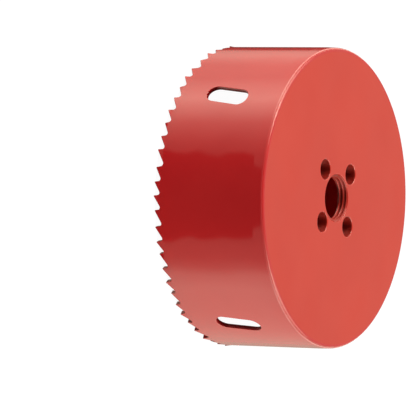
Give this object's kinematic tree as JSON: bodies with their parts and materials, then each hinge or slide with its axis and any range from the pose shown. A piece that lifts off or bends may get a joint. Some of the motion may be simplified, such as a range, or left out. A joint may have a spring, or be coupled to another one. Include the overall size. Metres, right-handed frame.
{
  "type": "hole saw",
  "caption": "Cup-shaped bi-metal hole saw, with hooked set teeth on a rolled rim, slanted side slots and a welded back plate with a threaded arbor bore.",
  "frame": {"origin": "on the saw's axis, in the plane of the tooth tips that it stands on", "axes": "+Z along the saw's axis, out of the back plate towards the drill; +X points at the middle of one side slot, within 5 degrees"},
  "size_m": [0.1018, 0.1019, 0.0413],
  "materials": {
    "wall_enamel": "glossy red enamel on rolled steel strip",
    "plate_enamel": "glossy red enamel on a steel plate"
  },
  "bodies": {
    "root": {"toothed_wall": "wall_enamel", "back_plate": "plate_enamel"}
  },
  "joints": []
}
